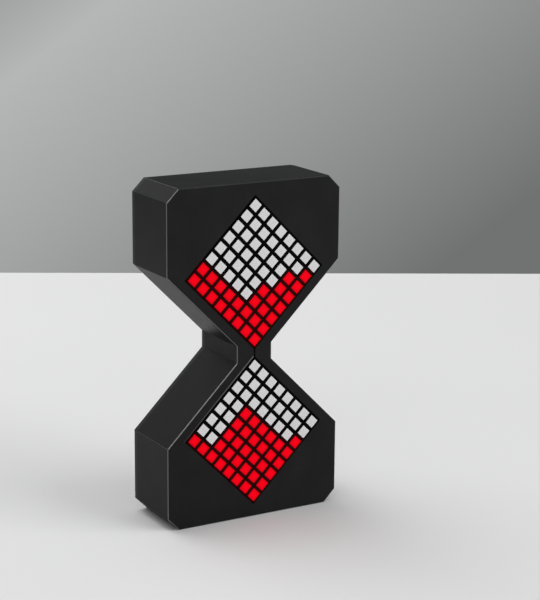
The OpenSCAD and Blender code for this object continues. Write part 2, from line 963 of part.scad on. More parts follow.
// A dished cap with a flange that keeps it inside the cover, and a stem down to the plunger
module button_cap() {
    cap_face = back_y + button_proud - flange_y;
    dish_r = (button_d * button_d / 16 + button_dish * button_dish) / (2 * button_dish);
    color("#141416")
    difference() {
        facing_back(0, flange_y, -display_z) {
            cylinder(h = flange_t, d = button_d + 2 * flange_reach);
            cylinder(h = cap_face - button_bevel, d = button_d);
            translate([0, 0, cap_face - button_bevel])
                cylinder(h = button_bevel, d1 = button_d, d2 = button_d - 2 * button_bevel);
            translate([0, 0, plunger_y - flange_y])
                cylinder(h = flange_y - plunger_y + flange_t / 2, d = stem_d);
        }
        facing_back(0, flange_y, -display_z)
            translate([0, 0, cap_face - button_dish + dish_r])
            sphere(dish_r);
    }
}

module tact_case() {
    color("#1e1e20")
    on_board(0, -display_z)
        difference() {
            translate([0, 0, tact_h / 2])
                cube([tact_side, tact_side, tact_h], center = true);
            translate([0, 0, tact_floor])
                cylinder(h = tact_h - tact_lid_t - tact_floor, d = tact_flange_d + 2 * slide_gap);
            translate([0, 0, tact_floor])
                cylinder(h = tact_h, d = plunger_d + 2 * slide_gap);
        }
}

module tact_plunger() {
    color("#3a3a3e")
    on_board(0, -display_z) {
        translate([0, 0, tact_flange_z])
            cylinder(h = tact_flange_t, d = tact_flange_d);
        translate([0, 0, tact_flange_z])
            cylinder(h = plunger_h - tact_flange_z, d = plunger_d);
    }
}

// A thin domed disc under the plunger, which snaps flat and springs back
module tact_dome() {
    color("silver")
    on_board(0, -display_z)
        intersection() {
            translate([0, 0, tact_flange_z - dome_r])
                difference() {
                    sphere(dome_r);
                    sphere(dome_r - dome_t);
                }
            translate([0, 0, tact_floor])
                cylinder(h = dome_h, d = dome_d);
        }
}

front_shell();
rear_cover();
cover_screws();
upper_matrix_case();
upper_lit_pixels();
upper_unlit_pixels();
upper_matrix_base();
upper_matrix_pins();
lower_matrix_case();
lower_lit_pixels();
lower_unlit_pixels();
lower_matrix_base();
lower_matrix_pins();
main_board();
board_screws();
upper_driver_chip();
lower_driver_chip();
microcontroller();
charger_chip();
chip_capacitors();
tilt_sensor_can();
tilt_sensor_plug();
tilt_sensor_leads();
tilt_ball();
buzzer();
battery();
battery_tape();
battery_leads();
battery_plug();
battery_socket();
usb_shell();
usb_tongue();
switch_case();
switch_knob();
button_cap();
tact_case();
tact_plunger();
tact_dome();
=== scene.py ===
# Looks of the electronic hourglass timer: shells, lenses, controls, finishes, light and camera
import math

import bmesh
import bpy
from mathutils import Matrix, Vector


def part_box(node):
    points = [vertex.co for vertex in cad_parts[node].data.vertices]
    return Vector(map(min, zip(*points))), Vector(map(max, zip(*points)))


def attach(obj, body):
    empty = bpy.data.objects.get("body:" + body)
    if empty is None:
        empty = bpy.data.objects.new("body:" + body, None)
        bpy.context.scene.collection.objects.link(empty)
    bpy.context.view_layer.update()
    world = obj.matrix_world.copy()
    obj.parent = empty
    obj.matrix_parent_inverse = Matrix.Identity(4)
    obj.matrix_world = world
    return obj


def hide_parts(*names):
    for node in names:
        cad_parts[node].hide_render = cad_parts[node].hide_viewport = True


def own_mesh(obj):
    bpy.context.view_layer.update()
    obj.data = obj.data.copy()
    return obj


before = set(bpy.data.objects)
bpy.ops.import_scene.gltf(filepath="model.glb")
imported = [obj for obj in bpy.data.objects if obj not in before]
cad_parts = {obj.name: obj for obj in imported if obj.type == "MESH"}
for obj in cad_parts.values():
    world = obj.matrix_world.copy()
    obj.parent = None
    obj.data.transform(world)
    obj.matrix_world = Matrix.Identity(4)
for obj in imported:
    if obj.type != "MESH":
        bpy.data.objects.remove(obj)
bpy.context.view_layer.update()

# Lengths are in metres; points closer than MERGE are one point, and NEAR allows for rounding
MM = 0.001
ROOT2 = math.sqrt(2)
MERGE = 0.0005 * MM
NEAR = 0.01 * MM

# Faces within FLAT of each other are one face, and only edges sharper than CREASE are rounded;
# the shading runs on across edges that are blunter than SMOOTH
FLAT = math.radians(0.5)
CREASE = math.radians(28)
SMOOTH = math.radians(27)
ROUND_STEPS = 4
# Wires have few sides, so their shading runs on across sharper edges
WIRE_SMOOTH = math.radians(60)

# How closely a face has to look along a direction, and how far a chamfer may be off its slope
FACING = 0.99
CHAMFER_SLACK = 0.05
FRONTWARDS = Vector((0, -1, 0))
RIGHTWARDS = Vector((1, 0, 0))
UPWARDS = Vector((0, 0, 1))

# Displays: pixels stand in a square grid that is turned on its corner
PIXEL_PITCH = 4 * MM
PIXEL_ROWS = 8
DISPLAY_BEVEL = 0.2 * MM
ROW_WAYS = (Vector((1, 0, 1)) / ROOT2, Vector((-1, 0, 1)) / ROOT2)
LOWER_LOW, LOWER_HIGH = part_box("lower_matrix_case")
LOWER_MID_Z = (LOWER_LOW.z + LOWER_HIGH.z) / 2
DISPLAY_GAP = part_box("upper_matrix_case")[0].z - LOWER_HIGH.z

# A lit pixel's light is full at the borders of its cell, and ends just past the cell's corners
GLOW_FULL = PIXEL_PITCH / 2
GLOW_END = 2.95 * MM

# Lens of one pixel: a rounded edge, a flat rim and a slightly raised middle
LENS_ROUND = 0.09 * MM
LENS_RIM = 0.7 * MM
LENS_CROWN = 0.05 * MM

# The casing's outline: cut corners, slanted flanks and a straight waist
SHELL_LOW, SHELL_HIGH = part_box("front_shell")
HALF_W = SHELL_HIGH.x
HALF_H = SHELL_HIGH.z / 2
FRONT_Y = SHELL_LOW.y
SPLIT_Y = SHELL_HIGH.y
BACK_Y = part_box("rear_cover")[1].y
CORNER_CUT = 3.8 * MM
WAIST_HALF = 5.8 * MM
FLANK_BORDER = 3.2 * MM
FLANK_X = FLANK_BORDER * ROOT2 - DISPLAY_GAP / 2
EDGE_BEVEL = 0.3 * MM

# Windows for the displays, the burnished strips and the window lip with its painted highlight, and the
# finger hollow round the knob
WINDOW_GAP = 0.15 * MM
WINDOW_HALF = PIXEL_PITCH * PIXEL_ROWS / 2 + WINDOW_GAP
LIP_WIDTH = 0.4 * MM
RIDGE_STRIP = 0.08 * MM
HOLLOW_DEPTH = 0.9 * MM

# How far edges are rounded
SKIN_ROUND = 0.06 * MM
MOUTH_ROUND = 0.08 * MM
FINE_ROUND = 0.05 * MM
CAP_ROUND = 0.12 * MM
CHIP_ROUND = 0.15 * MM
POUCH_ROUND = 0.8 * MM

# Screws, knob, charging socket and what stands on the board
SCREW_HEAD_H = 1.2 * MM
KNOB_STRIPS = 7
KNOB_GROOVE = 0.15 * MM
CONTACTS = 12
CONTACT_PITCH = 0.5 * MM
CONTACT_SIZE = Vector((3.4, 0.04, 0.26)) * MM
CONTACT_BACK = 0.3 * MM
CONTACT_BEVEL = 0.012 * MM
TONGUE_HALF = 0.35 * MM
TONGUE_SHOWN = 2 * MM
BOARD_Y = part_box("main_board")[1].y
CHIP_LEAD_T = 0.25 * MM
CAPACITOR_END = 0.4 * MM

# Places of the further finishes in a piece's list: on the shell, and on chips and capacitors
BURNISHED = 1
# The lower window's lip takes a painted highlight
HIGHLIT_LIP = 2
TINNED = 1


# Depth of a point inside the casing's outline, seen from the front; nought on the outline
def depth_in_casing(point):
    across = abs(point.x)
    up = abs(point.z - HALF_H)
    corner = (HALF_W + HALF_H - CORNER_CUT - across - up) / ROOT2
    flank = (FLANK_X + up - across) / ROOT2
    return min(HALF_W - across, HALF_H - up, corner, max(flank, WAIST_HALF - across))


def on_skin(point):
    return depth_in_casing(point) < EDGE_BEVEL + NEAR


# A mesh with the same solids as a CAD node, with its triangles joined into flat faces
def copy_of(node):
    shape = bmesh.new()
    shape.from_mesh(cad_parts[node].data)
    bmesh.ops.remove_doubles(shape, verts=shape.verts, dist=MERGE)
    bmesh.ops.dissolve_limit(
        shape,
        angle_limit=FLAT,
        use_dissolve_boundaries=False,
        verts=shape.verts,
        edges=shape.edges,
    )
    return shape


def creases(shape, wanted):
    return [
        edge
        for edge in shape.edges
        if len(edge.link_faces) == 2
        and edge.calc_face_angle(0) > CREASE
        and all(wanted(vert.co) for vert in edge.verts)
    ]


def soften(shape, edges, width, steps=ROUND_STEPS):
    bmesh.ops.bevel(
        shape,
        geom=edges,
        offset=width,
        offset_type="OFFSET",
        segments=steps,
        profile=0.5,
        affect="EDGES",
        clamp_overlap=False,
        material=-1,
    )
    shape.normal_update()


# A copy of a CAD node with its wanted creases rounded
def rounded_copy(node, wanted, width, steps=ROUND_STEPS):
    shape = copy_of(node)
    soften(shape, creases(shape, wanted), width, steps)
    return shape


def facing(shape, way):
    return [face for face in shape.faces if face.normal.dot(way) > FACING]


# A face that slopes halfway between the front and the casing's outline
def is_chamfer(face):
    return abs(face.normal.y + 1 / ROOT2) < CHAMFER_SLACK


# The faces of each separate solid in a mesh; a solid's list grows while it is walked
def solids_in(shape):
    seen = set()
    solids = []
    for start in shape.faces:
        if start in seen:
            continue
        seen.add(start)
        solid = [start]
        for face in solid:
            for edge in face.edges:
                for near in edge.link_faces:
                    if near not in seen:
                        seen.add(near)
                        solid.append(near)
        solids.append(solid)
    return solids


# Faces with their corners and edges, each listed once and in the faces' order
def parts_of(faces):
    verts = dict.fromkeys(vert for face in faces for vert in face.verts)
    edges = dict.fromkeys(edge for face in faces for edge in face.edges)
    return [*verts, *edges, *faces]


# Cuts faces along a plane, and gives the faces on both sides of it
def split_faces(shape, faces, place, way):
    cut = bmesh.ops.bisect_plane(
        shape,
        geom=parts_of(faces),
        dist=MERGE,
        plane_co=place,
        plane_no=way,
    )
    return [face for face in cut["geom"] if isinstance(face, bmesh.types.BMFace)]


# Turns a mesh into a named piece that rides on a body, with even shading across flat faces
def make_piece(shape, name, body, materials, stands_for=(), smooth_to=SMOOTH):
    mesh = bpy.data.meshes.new(name)
    for face in shape.faces:
        face.smooth = True
    shape.to_mesh(mesh)
    shape.free()
    mesh.set_sharp_from_angle(angle=smooth_to)
    for material in materials:
        mesh.materials.append(material)
    piece = bpy.data.objects.new(name, mesh)
    bpy.context.scene.collection.objects.link(piece)
    even = piece.modifiers.new("even_shading", "WEIGHTED_NORMAL")
    even.keep_sharp = True
    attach(piece, body)
    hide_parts(*stands_for)
    return piece


# Cloudy patterns: how fine they are, and between which values nearly all of a pattern lies
NOISE_DETAIL = 3
NOISE_LOW = 0.3
NOISE_HIGH = 0.7
# A pattern that is neither stretched nor turned
EVENLY = (1, 1, 1)
UNTURNED = (0, 0, 0)


# A material whose colour, roughness and grain come from nodes on Object coordinates
class Finish:
    def __init__(self, name):
        self.material = bpy.data.materials.new(name)
        self.material.use_nodes = True
        self.tree = self.material.node_tree
        self.shader = self.tree.nodes["Principled BSDF"]
        self.place = self.tree.nodes.new("ShaderNodeTexCoord").outputs["Object"]

    def link(self, output, socket):
        self.tree.links.new(output, socket)

    def stretched(self, scale, turn=UNTURNED):
        mapping = self.tree.nodes.new("ShaderNodeMapping")
        mapping.inputs["Scale"].default_value = scale
        mapping.inputs["Rotation"].default_value = turn
        self.link(self.place, mapping.inputs["Vector"])
        return mapping.outputs["Vector"]

    def axis(self, letter):
        split = self.tree.nodes.new("ShaderNodeSeparateXYZ")
        self.link(self.place, split.inputs["Vector"])
        return split.outputs[letter]

    # Cloudy pattern whose features are about this size
    def noise(self, feature, detail=NOISE_DETAIL, place=None):
        noise = self.tree.nodes.new("ShaderNodeTexNoise")
        noise.inputs["Scale"].default_value = 1 / feature
        noise.inputs["Detail"].default_value = detail
        self.link(place or self.place, noise.inputs["Vector"])
        return noise.outputs["Fac"]

    # Distance from the thin lines between uneven fields of about this size
    def tracks(self, feature, place):
        cells = self.tree.nodes.new("ShaderNodeTexVoronoi")
        cells.feature = "DISTANCE_TO_EDGE"
        cells.inputs["Scale"].default_value = 1 / feature
        self.link(place, cells.inputs["Vector"])
        return cells.outputs["Distance"]

    def attribute(self, name):
        attribute = self.tree.nodes.new("ShaderNodeAttribute")
        attribute.attribute_name = name
        return attribute.outputs["Fac"]

    def span(self, factor, low, high, start=NOISE_LOW, end=NOISE_HIGH):
        span = self.tree.nodes.new("ShaderNodeMapRange")
        span.inputs["From Min"].default_value = start
        span.inputs["From Max"].default_value = end
        span.inputs["To Min"].default_value = low
        span.inputs["To Max"].default_value = high
        self.link(factor, span.inputs["Value"])
        return span.outputs["Result"]

    def tint(self, factor, low, high, start=NOISE_LOW, end=NOISE_HIGH):
        ramp = self.tree.nodes.new("ShaderNodeValToRGB")
        first, last = ramp.color_ramp.elements
        first.position = start
        first.color = (*low, 1)
        last.position = end
        last.color = (*high, 1)
        self.link(factor, ramp.inputs["Fac"])
        return ramp.outputs["Color"]

    def colour(self, output, socket="Base Color"):
        self.link(output, self.shader.inputs[socket])

    def roughness(self, output):
        self.link(output, self.shader.inputs["Roughness"])

    def relief(self, height, depth):
        bump = self.tree.nodes.new("ShaderNodeBump")
        bump.inputs["Strength"].default_value = 1
        bump.inputs["Distance"].default_value = depth
        self.link(height, bump.inputs["Height"])
        self.link(bump.outputs["Normal"], self.shader.inputs["Normal"])

    def fixed(self, **values):
        for name, value in values.items():
            self.shader.inputs[name.replace("_", " ")].default_value = value


# Colours are linear red, green and blue; black and grey mouldings are a little bluish
BLACK = (0, 0, 0)
BLUISH = 1.03


def grey(level):
    return (level, level, level * BLUISH)


def shade(colour, share):
    return tuple(share * part for part in colour)


# A darker and a paler colour, on either side of this one
def swing(colour, share):
    return shade(colour, 1 - share), shade(colour, 1 + share)


# Moulded plastic: a fine spark-eroded grain, and broad faint clouds from handling
CLOUD = 9 * MM
CLOUD_DETAIL = 7
CLOUD_SWING = 0.16
PLASTIC_ROUGH_SWING = 0.05
PLASTIC_INDEX = 1.5


def moulded_plastic(name, colour, roughness, grain, depth, shine, index=PLASTIC_INDEX):
    finish = Finish(name)
    fine = finish.noise(grain)
    clouds = finish.noise(CLOUD, CLOUD_DETAIL)
    finish.colour(finish.tint(clouds, *swing(colour, CLOUD_SWING)))
    finish.roughness(finish.span(fine, roughness - PLASTIC_ROUGH_SWING, roughness + PLASTIC_ROUGH_SWING))
    finish.relief(fine, depth)
    finish.fixed(Specular_IOR_Level=shine, IOR=index)
    return finish


# Metal with fine streaks, drawn out along an axis where brush is small
STREAK = 0.25 * MM
STREAK_DARK = 0.82
STREAK_DEPTH = 0.003 * MM
METAL_ROUGH_SWING = 0.06
ALONG_X = (0.06, 1, 1)
ALONG_Z = (1, 1, 0.05)


def metal(name, colour, roughness, brush=EVENLY):
    finish = Finish(name)
    streaks = finish.noise(STREAK, place=finish.stretched(brush))
    finish.colour(finish.tint(streaks, shade(colour, STREAK_DARK), colour))
    finish.roughness(finish.span(streaks, roughness - METAL_ROUGH_SWING, roughness + METAL_ROUGH_SWING))
    finish.relief(streaks, STREAK_DEPTH)
    finish.fixed(Metallic=1.0)
    return finish.material


# The displays' black face, which takes a faint red glow from the lit pixels beside it
DISPLAY_BLACK = (0.0012, 0.0012, 0.00124)
FACE_GLOW = (0.035, 0.0003, 0.001)


def display_plastic(name):
    finish = moulded_plastic(
        name,
        DISPLAY_BLACK,
        roughness=0.6,
        grain=0.3 * MM,
        depth=0.003 * MM,
        shine=0.02,
    )
    glow = finish.tint(finish.attribute("pixel_glow"), BLACK, FACE_GLOW, 0, 1)
    finish.colour(glow, "Emission Color")
    finish.fixed(Emission_Strength=1.0)
    return finish.material


# Lit lenses glow less along their rims than in their middles
LIT_RESIN = (0.02, 0.00035, 0.0007)
LIT_SWING = 0.1
LIT_GLOW = (0.912, 0.0, 0.0085)
LIT_RIM = 0.76
FROST = 0.4 * MM
FROST_ROUGH = (0.5, 0.6)


def lit_lens(name):
    finish = Finish(name)
    middle = finish.attribute("lens_middle")
    finish.colour(finish.tint(middle, *swing(LIT_RESIN, LIT_SWING), 0, 1))
    glow = finish.tint(middle, shade(LIT_GLOW, LIT_RIM), LIT_GLOW, 0, 1)
    finish.colour(glow, "Emission Color")
    finish.roughness(finish.span(finish.noise(FROST), *FROST_ROUGH))
    finish.fixed(Emission_Strength=1.0, Specular_IOR_Level=0.02)
    return finish.material


# Unlit lenses have a painted highlight: they are a little paler along their rims than in their middles
UNLIT_RESIN = (0.653, 0.645, 0.653)
UNLIT_RIM_HIGHLIGHT = 1.06


def unlit_lens(name):
    finish = Finish(name)
    middle = finish.attribute("lens_middle")
    # Painted highlight along the rims
    finish.colour(finish.tint(middle, shade(UNLIT_RESIN, UNLIT_RIM_HIGHLIGHT), UNLIT_RESIN, 0, 1))
    finish.roughness(finish.span(finish.noise(FROST), *FROST_ROUGH))
    finish.fixed(Specular_IOR_Level=0.25)
    return finish.material


# The lower window's lip, with a painted highlight that grows paler and paler towards the neck
LIP_HIGHLIGHT_FAINT = (0.012, 0.012, 0.0124)
LIP_HIGHLIGHT_FULL = (0.12, 0.12, 0.1236)
LIP_GRAIN = 0.3 * MM
LIP_ROUGH = (0.3, 0.4)


def painted_lip_highlight(name):
    finish = Finish(name)
    # Painted highlight: the lip's colour pales from the display's middle height up to its top
    height = finish.span(finish.axis("Z"), 0, 1, LOWER_MID_Z, LOWER_HIGH.z)
    finish.colour(finish.tint(height, LIP_HIGHLIGHT_FAINT, LIP_HIGHLIGHT_FULL, 0, 1))
    finish.roughness(finish.span(finish.noise(LIP_GRAIN), *LIP_ROUGH))
    finish.fixed(Specular_IOR_Level=0.3)
    return finish.material


# Green solder mask, which stands a little higher over the copper tracks; the tracks run slanting,
# and are the same all through the board
MASK_GREEN = (0.008, 0.05, 0.022)
TRACK_GREEN = (0.02, 0.11, 0.05)
TRACK_FIELD = 2.2 * MM
TRACK_EDGE = (0.05, 0.09)
TRACK_HEIGHT = 0.03 * MM
TRACK_TURN = (0, math.radians(45), 0)
THROUGH_BOARD = (1, 0.001, 1)
MASK_GRAIN = 0.5 * MM
MASK_ROUGH = (0.28, 0.4)


def board_laminate(name):
    finish = Finish(name)
    tracks = finish.tracks(TRACK_FIELD, finish.stretched(THROUGH_BOARD, TRACK_TURN))
    finish.colour(finish.tint(tracks, TRACK_GREEN, MASK_GREEN, *TRACK_EDGE))
    finish.roughness(finish.span(finish.noise(MASK_GRAIN), *MASK_ROUGH))
    finish.relief(finish.span(tracks, 1, 0, *TRACK_EDGE), TRACK_HEIGHT)
    return finish.material


# Crinkled foil pouch of the battery
FOIL = (0.5, 0.53, 0.575)
FOIL_SWING = 0.16
FOIL_ROUGH = (0.25, 0.42)
CRINKLE = 2.5 * MM
CRINKLE_DETAIL = 5
CRINKLE_DEPTH = 0.12 * MM


def pouch_foil(name):
    finish = Finish(name)
    crinkle = finish.noise(CRINKLE, CRINKLE_DETAIL)
    finish.colour(finish.tint(crinkle, *swing(FOIL, FOIL_SWING)))
    finish.roughness(finish.span(crinkle, *FOIL_ROUGH))
    finish.relief(crinkle, CRINKLE_DEPTH)
    finish.fixed(Metallic=0.9)
    return finish.material


# Foam tape with fine open cells
FOAM = (0.635, 0.635, 0.615)
FOAM_SWING = 0.13
FOAM_ROUGH = (0.8, 0.95)
FOAM_CELL = 0.35 * MM
FOAM_DETAIL = 2
FOAM_DEPTH = 0.08 * MM


def foam_tape(name):
    finish = Finish(name)
    cells = finish.noise(FOAM_CELL, FOAM_DETAIL)
    finish.colour(finish.tint(cells, *swing(FOAM, FOAM_SWING)))
    finish.roughness(finish.span(cells, *FOAM_ROUGH))
    finish.relief(cells, FOAM_DEPTH)
    return finish.material


# Sleeves of the battery leads: one is red and the other black, on either side of middle_x
LEAD_RED = (0.45, 0.012, 0.01)
LEAD_BLACK = (0.008, 0.008, 0.009)
SCUFF = 0.3 * MM
SCUFF_STRETCH = (1, 0.15, 0.15)
SCUFF_ROUGH = (0.35, 0.5)
SCUFF_DEPTH = 0.01 * MM


def lead_sleeve(name, middle_x):
    finish = Finish(name)
    side = finish.span(finish.axis("X"), 0, 1, middle_x - NEAR, middle_x + NEAR)
    finish.colour(finish.tint(side, LEAD_RED, LEAD_BLACK))
    scuffs = finish.noise(SCUFF, place=finish.stretched(SCUFF_STRETCH))
    finish.roughness(finish.span(scuffs, *SCUFF_ROUGH))
    finish.relief(scuffs, SCUFF_DEPTH)
    return finish.material


# Casing and controls
SHELL = moulded_plastic(
    "satin_black_shell",
    grey(0.0112),
    roughness=0.42,
    grain=0.3 * MM,
    depth=0.02 * MM,
    shine=0.075,
).material
SHELL_EDGE = moulded_plastic(
    "burnished_edge",
    grey(0.018),
    roughness=0.22,
    grain=0.45 * MM,
    depth=0.002 * MM,
    shine=1.0,
    index=1.7,
).material
# Painted highlight along the lower window's lip, palest at the neck
SHELL_LIP_HIGHLIGHT = painted_lip_highlight("window_lip_highlight_paint")
COVER = moulded_plastic(
    "grained_black_cover",
    grey(0.012),
    roughness=0.48,
    grain=0.4 * MM,
    depth=0.02 * MM,
    shine=0.2,
).material
CAP = moulded_plastic(
    "satin_black_cap",
    grey(0.014),
    roughness=0.38,
    grain=0.3 * MM,
    depth=0.003 * MM,
    shine=0.3,
).material
KNOB = moulded_plastic(
    "black_knob",
    grey(0.012),
    roughness=0.45,
    grain=0.25 * MM,
    depth=0.004 * MM,
    shine=0.3,
).material
TONGUE = moulded_plastic(
    "black_socket_tongue",
    grey(0.011),
    roughness=0.4,
    grain=0.2 * MM,
    depth=0.002 * MM,
    shine=0.4,
).material

# Displays
DISPLAY = display_plastic("matt_black_display")
LIT = lit_lens("lit_red_lens")
UNLIT = unlit_lens("frosted_white_lens")
FILLER = moulded_plastic(
    "grey_display_filler",
    grey(0.03),
    roughness=0.35,
    grain=0.8 * MM,
    depth=0.01 * MM,
    shine=0.4,
).material

# Board, battery and what stands on the board
LAMINATE = board_laminate("green_board_laminate")
POUCH = pouch_foil("battery_pouch_foil")
TAPE = foam_tape("white_foam_tape")
RESIN = moulded_plastic(
    "black_chip_resin",
    grey(0.018),
    roughness=0.55,
    grain=0.15 * MM,
    depth=0.006 * MM,
    shine=0.4,
).material
NYLON = moulded_plastic(
    "ivory_nylon",
    (0.72, 0.69, 0.6),
    roughness=0.42,
    grain=0.3 * MM,
    depth=0.004 * MM,
    shine=0.4,
).material
CERAMIC = moulded_plastic(
    "tan_ceramic",
    (0.42, 0.28, 0.16),
    roughness=0.5,
    grain=0.12 * MM,
    depth=0.004 * MM,
    shine=0.4,
).material

# Metals
SCREW = metal("blackened_screw_steel", (0.075, 0.075, 0.08), roughness=0.36)
BRIGHT_SCREW = metal("zinc_screw_steel", (0.6, 0.61, 0.63), roughness=0.3)
TIN = metal("tinned_metal", (0.68, 0.68, 0.66), roughness=0.3)
CAN = metal("drawn_can_steel", (0.62, 0.62, 0.61), roughness=0.26, brush=ALONG_Z)
BALL = metal("polished_ball_steel", (0.66, 0.67, 0.68), roughness=0.14)
SOCKET = metal("stamped_socket_steel", (0.58, 0.58, 0.57), roughness=0.3, brush=ALONG_X)
GOLD = metal("gilt_contact", (0.83, 0.58, 0.22), roughness=0.24, brush=ALONG_X)


# Front shell: burnished chamfers round its face; its edges and the rims of its openings are rounded
def shell_moulding():
    shape = rounded_copy("front_shell", on_skin, SKIN_ROUND)
    for face in shape.faces:
        if is_chamfer(face) and on_skin(face.calc_center_median()):
            face.material_index = BURNISHED
    rub_ridges(shape)
    soften(shape, creases(shape, round_a_window), MOUTH_ROUND)
    soften(shape, creases(shape, on_hollow_floor), MOUTH_ROUND)
    mark_lip_highlight(shape)
    finishes = [SHELL, SHELL_EDGE, SHELL_LIP_HIGHLIGHT]
    make_piece(shape, "shell_moulding", "casing", finishes, ["front_shell"])


# Burnishes narrow strips of the left side's slopes: under the top ridge, and along the ridge
# above the foot
def rub_ridges(shape):
    inset = RIDGE_STRIP / ROOT2
    top = Vector((0, 0, SHELL_HIGH.z - inset))
    left = Vector((SHELL_LOW.x + inset, 0, 0))
    for is_upper, place, way in ((True, top, UPWARDS), (False, left, -RIGHTWARDS)):
        slopes = [
            face
            for face in facing(shape, ROW_WAYS[1])
            if on_slope(face.calc_center_median(), is_upper)
        ]
        for face in split_faces(shape, slopes, place, way):
            if (face.calc_center_median() - place).dot(way) > 0:
                face.material_index = BURNISHED


def on_slope(point, is_upper):
    return on_skin(point) and (point.z > HALF_H) == is_upper


def round_a_window(point):
    return point.y < FRONT_Y + NEAR and not on_skin(point)


# Cuts a narrow strip of the front face free along the lower window's upper left side, and gives
# it a painted highlight
def mark_lip_highlight(shape):
    middle = Vector((0, FRONT_Y, LOWER_MID_Z))
    along, out = ROW_WAYS
    reach = WINDOW_HALF + LIP_WIDTH
    fronts = [
        face
        for face in facing(shape, FRONTWARDS)
        if face.calc_center_median().y < FRONT_Y + NEAR
    ]
    cuts = ((reach * out, out), (WINDOW_HALF * along, along), (-WINDOW_HALF * along, along))
    for place, way in cuts:
        fronts = split_faces(shape, fronts, middle + place, way)
    for face in fronts:
        place = face.calc_center_median() - middle
        if abs(place.dot(along)) < WINDOW_HALF and 0 < place.dot(out) < reach:
            face.material_index = HIGHLIT_LIP


def on_hollow_floor(point):
    return abs(point.x - HALF_W + HOLLOW_DEPTH) < NEAR and FRONT_Y < point.y < SPLIT_Y


# Rear cover: rounded along its rim, and round the holes for the screws, the button and the sound
def cover_moulding():
    shape = rounded_copy("rear_cover", on_cover_rim, SKIN_ROUND)
    soften(shape, creases(shape, round_a_back_hole), MOUTH_ROUND)
    make_piece(shape, "cover_moulding", "casing", [COVER], ["rear_cover"])


def on_cover_rim(point):
    return on_skin(point) and point.y > SPLIT_Y - NEAR


# Holes lie well inside the outline, past the cover's bevelled rim
def round_a_back_hole(point):
    return point.y > BACK_Y - NEAR and depth_in_casing(point) > 2 * EDGE_BEVEL


# Square lenses with rounded rims and raised middles in the places of the CAD pixels; gives their
# middles
def pixel_lenses(node, name, material):
    shape = copy_of(node)
    rims = dict.fromkeys(edge for face in facing(shape, FRONTWARDS) for edge in face.edges)
    soften(shape, list(rims), LENS_ROUND)
    fronts = facing(shape, FRONTWARDS)
    bmesh.ops.inset_individual(shape, faces=fronts, thickness=LENS_RIM, use_even_offset=True)
    middle = shape.verts.layers.float.new("lens_middle")
    for face in fronts:
        for vert in face.verts:
            vert.co.y -= LENS_CROWN
            vert[middle] = 1
    places = [face.calc_center_median() for face in fronts]
    make_piece(shape, name, "casing", [material], [node])
    return places


# A display's case, cut along the borders and middles of its pixels' cells so that the glow
# follows them
def display_frame(node, name, lit_places):
    low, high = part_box(node)
    bevel_y = low.y + DISPLAY_BEVEL + NEAR
    shape = rounded_copy(node, lambda point: point.y < bevel_y, FINE_ROUND, steps=1)
    for way in ROW_WAYS:
        for line in range(1 - PIXEL_ROWS, PIXEL_ROWS):
            bmesh.ops.bisect_plane(
                shape,
                geom=[*shape.verts, *shape.edges, *shape.faces],
                dist=MERGE,
                plane_co=(low + high) / 2 + line * PIXEL_PITCH / 2 * way,
                plane_no=way,
            )
    glow = shape.verts.layers.float.new("pixel_glow")
    for vert in shape.verts:
        vert[glow] = min(1, sum(glow_share(vert.co, lit) for lit in lit_places))
    make_piece(shape, name, "casing", [DISPLAY], [node])


# A point between two lit pixels takes half of its glow from each of them
def glow_share(point, lit):
    apart = math.hypot(point.x - lit.x, point.z - lit.z)
    return max(0, (GLOW_END - apart) / (GLOW_END - GLOW_FULL)) / 2


def cover_screw_heads():
    head_y = BACK_Y - SCREW_HEAD_H + NEAR
    shape = rounded_copy("cover_screws", lambda point: point.y > head_y, FINE_ROUND)
    make_piece(shape, "cover_screw_heads", "casing", [SCREW], ["cover_screws"])


def set_button_cap():
    shape = rounded_copy("button_cap", lambda point: point.y > SPLIT_Y + NEAR, CAP_ROUND)
    make_piece(shape, "set_button_cap", "set_button", [CAP], ["button_cap"])


# The push switch's spring dome, on a mesh of its own, which just clears the plunger
def push_switch_dome():
    shape = copy_of("tact_dome")
    dome = make_piece(shape, "push_switch_dome", "casing", [CAN], ["tact_dome"])
    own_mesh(dome)


# The tilt sensor's ball, with its triangles joined into a closed mesh
def rolling_ball():
    shape = copy_of("tilt_ball")
    make_piece(shape, "rolling_ball", "tilt_ball", [BALL], ["tilt_ball"])


# The tilt sensor's bent wires, with their triangles joined into closed meshes
def tilt_sensor_wires():
    make_piece(
        copy_of("tilt_sensor_leads"),
        "tilt_sensor_wires",
        "casing",
        [TIN],
        ["tilt_sensor_leads"],
        WIRE_SMOOTH,
    )


# The power switch's knob, with grooves across its tip for the fingernail
def power_knob_tip():
    tip_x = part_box("switch_knob")[1].x
    shape = rounded_copy("switch_knob", lambda point: point.x > tip_x - NEAR, MOUTH_ROUND)
    tip = max(facing(shape, RIGHTWARDS), key=lambda face: face.calc_center_median().x)
    rails = [edge for edge in tip.edges if abs(edge.verts[0].co.y - edge.verts[1].co.y) < NEAR]
    bmesh.ops.subdivide_edges(shape, edges=rails, cuts=KNOB_STRIPS - 1, use_grid_fill=True)
    strips = [
        face
        for face in facing(shape, RIGHTWARDS)
        if face.calc_center_median().x > tip_x - NEAR
    ]
    strips.sort(key=lambda face: face.calc_center_median().z)
    grooves = strips[1::2]
    bmesh.ops.inset_individual(shape, faces=grooves, thickness=FINE_ROUND, use_even_offset=True)
    floors = [vert for face in grooves for vert in face.verts]
    bmesh.ops.translate(shape, verts=floors, vec=(-KNOB_GROOVE, 0, 0))
    make_piece(shape, "power_knob_tip", "power_knob", [KNOB], ["switch_knob"])


# The charging socket's steel mouth is rounded
def charging_socket_shell():
    mouth_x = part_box("usb_shell")[1].x
    shape = rounded_copy("usb_shell", lambda point: point.x > mouth_x - NEAR, MOUTH_ROUND)
    make_piece(shape, "charging_socket_shell", "casing", [SOCKET], ["usb_shell"])


